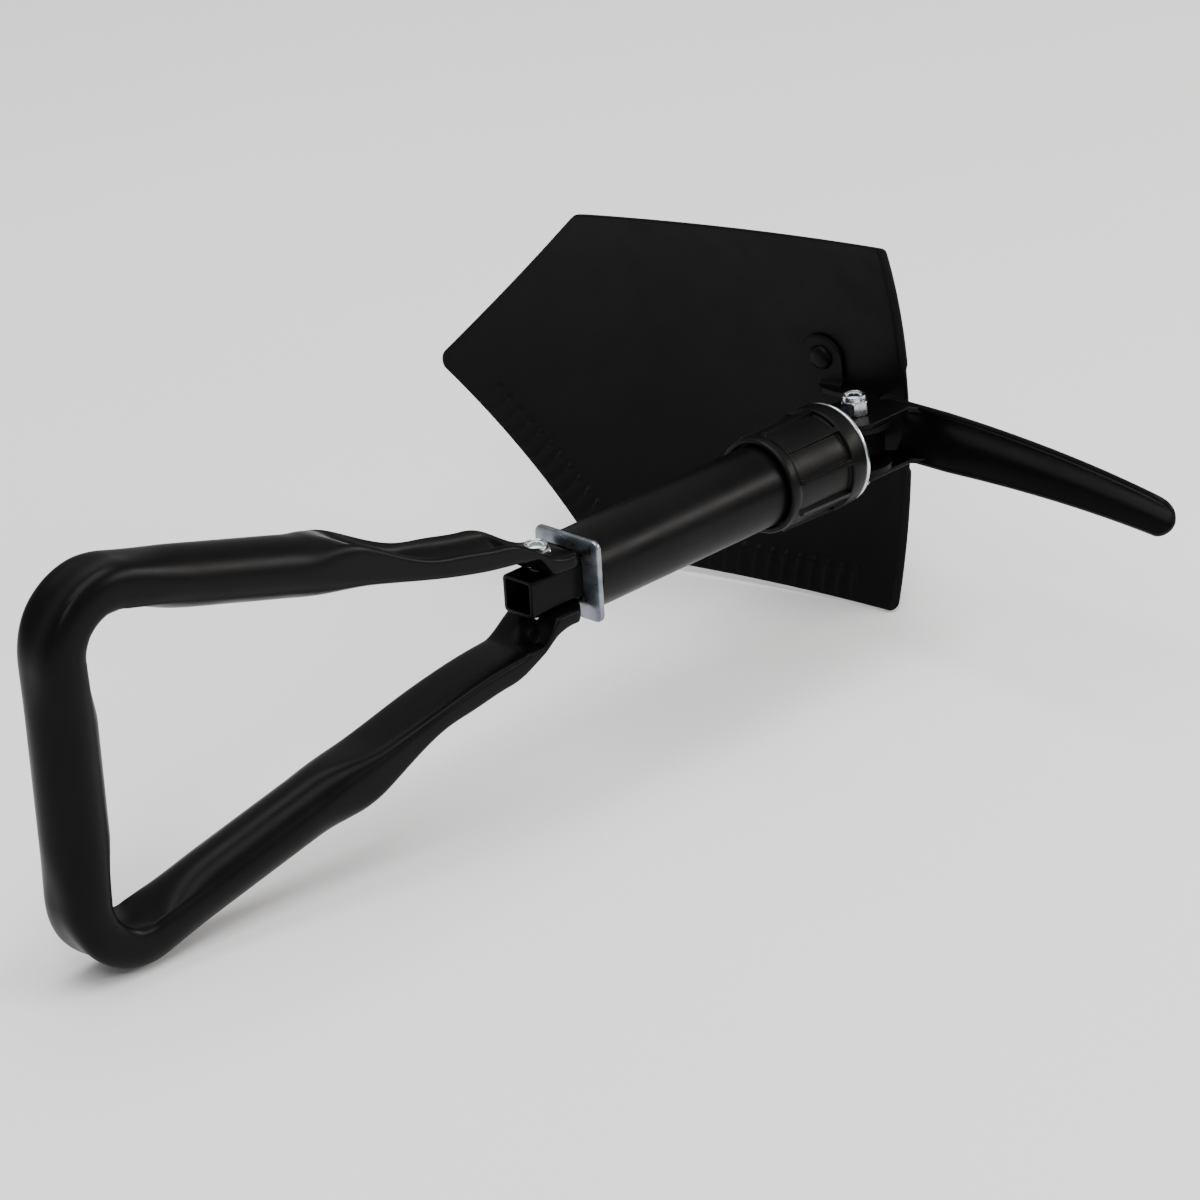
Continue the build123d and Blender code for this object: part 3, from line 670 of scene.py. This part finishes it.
def nut_shape(base, turn):
    """A tall locking nut: a hexagon with eased ends, a round crown and an open ring."""
    flats, hexed, height = 10.0, 5.6, 8.0

    def cone(h):
        low = 4.95 + (h - base) * 1.6
        high = 5.1 + (base + hexed + 0.25 - h) * 1.2
        return np.minimum(low, high)

    profile = [(base, 3.05), (base, 4.9)]
    profile += [(base + h, 5.0) for h in (0.15, 0.35, 0.6, 1.5, 3.0, 4.6, 5.0, 5.3, 5.6)]
    profile += [(base + 5.72, 4.52), (base + 6.0, 4.5), (base + 7.2, 4.5)]
    profile += [(base + 7.7, 4.38), (base + 7.93, 4.1)]
    profile += [(base + height, 3.75), (base + 7.85, 3.45), (base + 7.5, 3.35), (base + 7.4, 3.05)]
    return turned(profile, 144, "z", hex_radius(flats, turn, cone))


def bolt_shape(bottom, top, head):
    """An M6 bolt standing up: an eased hexagon head under a shank with a chamfered end."""

    def cone(h):
        return 4.85 + (h - bottom) * 1.7

    profile = [(bottom, 0.02), (bottom, 4.4)]
    profile += [(bottom + h, 5.0) for h in (0.1, 0.3, 0.5, 1.0, 2.5, head)]
    profile += [(bottom + head, 2.9), (bottom + head, 0.02)]
    hexagon = turned(profile, 144, "z", hex_radius(10.0, 0.0, cone))
    rings = np.arange(top - 6.0, top - 0.9, 0.125)
    thread = [(z, 2.88 + 0.1 * cos(2 * pi * (z - top))) for z in rings]
    shank = [(bottom + head - 0.5, 0.02), (bottom + head - 0.5, 2.98), (top - 6.2, 2.98)]
    shank += thread
    shank += [(top - 0.7, 2.7), (top - 0.1, 2.2), (top, 2.0), (top, 0.02)]
    return joined(hexagon, turned(shank, 48))


def ring_shape(low, high, inner, outer):
    """A flat ring with a small ease on its upper edges."""
    profile = [(low, inner), (low, outer), (high - 0.15, outer)]
    profile += [(high, outer - 0.15), (high, inner + 0.2), (high - 0.2, inner)]
    return turned(profile, 96)


HEAD_STACK = 11.75
REAR_STACK = 9.65
HEAD_BOLT_END = -17.35
BOLT_HEAD = 4.0
PROUD = 7.55

stacks = (
    ("head", HEAD, HEAD_STACK, HEAD_BOLT_END, radians(12), "head"),
    ("rear", REAR, REAR_STACK, -REAR_STACK - BOLT_HEAD, radians(25), "handle"),
)
for end, pivot, stack, bolt_end, nut_turn, node in stacks:
    nut = nut_shape(stack, nut_turn)
    ring = ring_shape(stack + 5.7, stack + 7.4, 2.6, 3.3)
    bolt = bolt_shape(bolt_end, stack + PROUD, BOLT_HEAD)
    piece(f"{end}_locknut", nut, pivot, "shaft", [f"{node}_nut"], zinc, 30)
    piece(f"{end}_nylon_ring", ring, pivot, "shaft", [f"{node}_nut_insert"], nylon)
    piece(f"{end}_pivot_bolt", bolt, pivot, "shaft", [f"{node}_bolt"], zinc, 30)


# ---- loop handle ---------------------------------------------------------------------

GRIP_REACH = 214.2
GRIP_HALF = 70.7
LEG_START = 15.95
TUBE = 12.2
BEND = 20.5
SEAT = 14.8
SEAT_HALF = 12.4
FOOT_START = 2.3
SQUARENESS = 0.42
CHANNEL = 0.83
ROUND_FROM, ROUND_OVER = 84, 34
LEAN_FROM, LEAN_OVER = 120, 50
PRESS_BEFORE, PRESS_OVER = 26, 40
GRIP_FADE = 24


def climb(reach, start, *rises):
    """A level that climbs from start by smooth steps.

    Each rise is where it begins, how long it takes and how high it goes."""
    steps = [height * ease((reach - begin) / length) for begin, length, height in rises]
    return start + sum(steps)


def leg_levels(reach):
    """Inner wall, ridge tops, channel floor and steeper inner wall of a leg at a reach from the bolt.

    Near the bolt the tube is pressed into a channel: flat inside, two ridges outside."""
    inner = climb(reach, 7.65, (0.5, 18, 9.6), (10, 115, 19.25))
    steep = climb(reach, 7.65, (1, 8.6, 9.25))
    ridge = climb(reach, 9.8, (-19, 12, 4.4), (-6, 32, 14), (22, 32, 4.5), (48, 60, 22.9))
    floor = climb(reach, 9.65, (0, 18, 10.2), (15, 55, 8), (56, 56, 28.75))
    return inner, ridge, np.minimum(floor, ridge), np.maximum(steep, inner)


def leg_section(reach, width, c, s):
    """How far each point of a pressed leg lies across it and out from the shaft's line.

    It is a rounded block of half width between the inner wall and the ridges, with a
    channel pressed into its outer side."""
    inner, ridge, floor, steep = leg_levels(reach)
    across = width * np.sign(c) * np.abs(c) ** (SQUARENESS * 1.15)
    wall = inner + (steep - inner) * ease((across + 2) / 9)
    middle, thick = (wall + ridge) / 2, (ridge - wall) / 2
    out = middle + thick * np.sign(s) * np.abs(s) ** SQUARENESS
    trough = np.clip(1 - (across / (width * CHANNEL)) ** 2, 0, 1) ** 0.55
    return across, out - np.where(s > 0, 1, 0) * trough * (ridge - floor)


def handle_half(count=112):
    """The upper half of the handle as loops, from its foot to the middle of the grip.

    The foot ends in a round about the bolt. The leg's section turns into the round tube by
    an eased share of its length. The tube runs on along the leg's slope, round a bend on
    one arc, and straight down the grip."""
    slope = (GRIP_HALF - LEG_START) / GRIP_REACH
    tilt = atan2(slope, 1)
    angle = np.arange(count) / count * 2 * pi
    c, s = np.cos(angle), np.sin(angle)
    centre_x = GRIP_REACH - BEND
    centre_z = LEG_START + slope * centre_x - BEND / cos(tilt)
    leg_end = centre_x - BEND * sin(tilt)

    foot = -SEAT + 0.05 + FOOT_START * (1 - np.cos(np.linspace(0, pi / 2, 7)))
    stretches = ((-12, 8, 26), (8.4, 20, 40), (20.6, 60, 44), (61, 112, 52), (114, leg_end, 26))
    reach = np.concatenate([foot] + [np.linspace(*stretch) for stretch in stretches])[:, None]
    axis = LEG_START + slope * reach
    round_share = ease((reach - ROUND_FROM) / ROUND_OVER)
    width = np.minimum(SEAT_HALF, np.sqrt(SEAT**2 - np.minimum(reach, 0) ** 2))
    width = width + round_share * (TUBE - SEAT_HALF)
    across, out = leg_section(reach, width, c, s)
    tall = TUBE / cos(tilt)
    flat = np.interp(reach, [80, 112, 130, leg_end - 30, leg_end], [1.6, 2.2, 2.2, 2.3, 3.4])
    out_round = axis + np.where(s < 0, tall - flat, tall) * s
    across = across + round_share * (width * c - across)
    out = out + round_share * (out_round - out)
    press = ease((reach - leg_end + PRESS_BEFORE) / PRESS_OVER)
    across_bent, off_bent = bent_section(c, s, press, flat)
    is_tube = round_share > 0.99
    across = np.where(is_tube, across_bent, across)
    off = np.where(is_tube, off_bent, (out - axis) * cos(tilt))
    lean = ease((reach - LEAN_FROM) / LEAN_OVER)
    x = reach - off * sin(tilt) * lean
    z = axis + off * (1 / cos(tilt) * (1 - lean) + cos(tilt) * lean)
    leg = np.stack([x, across, z], -1)

    share = np.linspace(0, 1, 56)[1:, None]
    swing = (pi / 2 + tilt) * (1 - share)
    start = float(ease(PRESS_BEFORE / PRESS_OVER))
    into = start + (1 - start) * ease(share / 0.25)
    away = 1 - 0.5 * ease((share - 0.6) / 0.4)
    flat = np.interp(share, [0, 0.3, 0.65, 1], [3.4, 5.0, 5.0, 3.0])
    across, off = bent_section(c, s, np.where(share < 0.5, into, away), flat)
    x = centre_x + (BEND + off) * np.cos(swing)
    z = centre_z + (BEND + off) * np.sin(swing)
    bend = np.stack([x, across, z], -1)

    level = np.linspace(centre_z, 0, 40)[1:, None]
    fade = ease((level - centre_z + GRIP_FADE) / GRIP_FADE)
    across, off = bent_section(c, s, 0.5 * fade, 3.0 * fade)
    grip = np.stack([GRIP_REACH + off, across, level + 0 * off], -1)
    return np.concatenate([leg, bend, grip])


def bent_section(c, s, press, flat):
    """The tube's section in a tight bend: flatter and hollow inside, and pressed in outside.

    press runs from 0 for a round tube to 1, and flat is how far its inner side moves in."""
    q = TUBE * (1 + 0.03 * press) * np.sign(c) * np.abs(c) ** (1 - 0.2 * press)
    squarer = np.sign(s) * np.abs(s) ** (1 - 0.3 * press)
    off = np.where(s < 0, TUBE - flat, TUBE) * squarer
    dent = np.clip(1 - (q / (TUBE * 0.84)) ** 2, 0, 1)
    off = off + np.where(s < 0, 1, 0) * dent**0.8 * 5.0 * press
    off = off - np.where(s > 0, 1, 0) * dent**1.5 * 2.8 * press
    return q, off


def handle_shape():
    """Both halves of the handle in one run, turned to where the handle stands at rest."""
    upper = handle_half()
    lower = upper[-2::-1] * (1, 1, -1)
    points, faces = shell(np.concatenate([upper, lower]))
    out = np.array([-cos(HANDLE_ANGLE), sin(HANDLE_ANGLE), 0])
    over = np.array([-sin(HANDLE_ANGLE), -cos(HANDLE_ANGLE), 0])
    points = points[:, :1] * out + points[:, 1:2] * over + points[:, 2:] * (0, 0, 1)
    return points, faces


piece("pressed_handle", handle_shape(), REAR, "handle", ["handle_loop"], black_tube, 60)


# ---- carried-over pieces -------------------------------------------------------------

for node, finish in (("thread_bush", collar_plastic), ("head_washer", zinc)):
    kept = frame["nodes"][node]
    kept.data.materials.clear()
    kept.data.materials.append(finish)


# ---- floor, light and camera ---------------------------------------------------------


def plain_material(name, colour, roughness):
    """A plain pale surface with the faintest mottling."""
    material, shader, where = finish_nodes(name, colour, roughness)
    cloud = noise(material, where, 3.0)
    tint = ramp(material, cloud.outputs["Fac"], (*colour, 1), (*[c * 0.985 for c in colour], 1))
    material.node_tree.links.new(tint.outputs["Color"], shader.inputs["Base Color"])
    return material


FLOOR_HALF = 6
FLOOR_LEVEL = -0.0006
corners = [(-1, -1), (1, -1), (1, 1), (-1, 1)]
floor_points = [(x * FLOOR_HALF, y * FLOOR_HALF, FLOOR_LEVEL) for x, y in corners]
floor_mesh = bpy.data.meshes.new("floor")
floor_mesh.from_pydata(floor_points, [], [(0, 1, 2, 3)])
floor = bpy.data.objects.new("floor", floor_mesh)
bpy.context.scene.collection.objects.link(floor)
floor_mesh.materials.append(plain_material("pale_floor", (0.90, 0.90, 0.90), 0.75))

world = bpy.data.worlds.new("studio")
bpy.context.scene.world = world
world.use_nodes = True
world.node_tree.nodes["Background"].inputs["Color"].default_value = (1, 1, 1, 1)
world.node_tree.nodes["Background"].inputs["Strength"].default_value = 0.5


def softbox(name, place, aim, width, height, power, colour=(1, 1, 1)):
    """A rectangular area light at place, facing aim."""
    light = bpy.data.lights.new(name, "AREA")
    light.shape = "RECTANGLE"
    light.size, light.size_y = width, height
    light.energy = power
    light.color = colour
    lamp = bpy.data.objects.new(name, light)
    bpy.context.scene.collection.objects.link(lamp)
    lamp.location = place
    lamp.rotation_euler = (Vector(aim) - Vector(place)).to_track_quat("-Z", "Y").to_euler()


softbox("overhead", (0.0, 0.0, 2.4), (0, 0, 0), 2.4, 2.4, 78)
softbox("side_strip", (1.1, -1.09, 0.75), (0, 0, 0.07), 1.3, 0.2, 16, (1.0, 0.94, 0.86))
softbox("key", (-1.3, -1.0, 1.6), (0.05, 0.0, 0.08), 0.7, 0.7, 12)

AZIMUTH = radians(45.2)
ELEVATION = radians(23.49)
ROLL = radians(-3.54)
DISTANCE = 1.79134
AIM = np.array([-182.2, -37.91, 7.19])
look = np.array([cos(AZIMUTH) * cos(ELEVATION), sin(AZIMUTH) * cos(ELEVATION), -sin(ELEVATION)])
right = np.cross(look, [0, 0, 1.0])
right /= np.linalg.norm(right)
up = np.cross(right, look)
tilted_right = cos(ROLL) * right + sin(ROLL) * up
tilted_up = -sin(ROLL) * right + cos(ROLL) * up
place = (HEAD + AIM) * MM - look * DISTANCE
lens = bpy.data.cameras.new("camera")
lens.lens = 150.0
lens.sensor_width = 36.0
lens.clip_end = 50.0
camera = bpy.data.objects.new("camera", lens)
bpy.context.scene.collection.objects.link(camera)
turn = Matrix(np.stack([tilted_right, tilted_up, -look], 1).tolist()).to_4x4()
camera.matrix_world = Matrix.Translation(Vector(place)) @ turn
bpy.context.scene.camera = camera
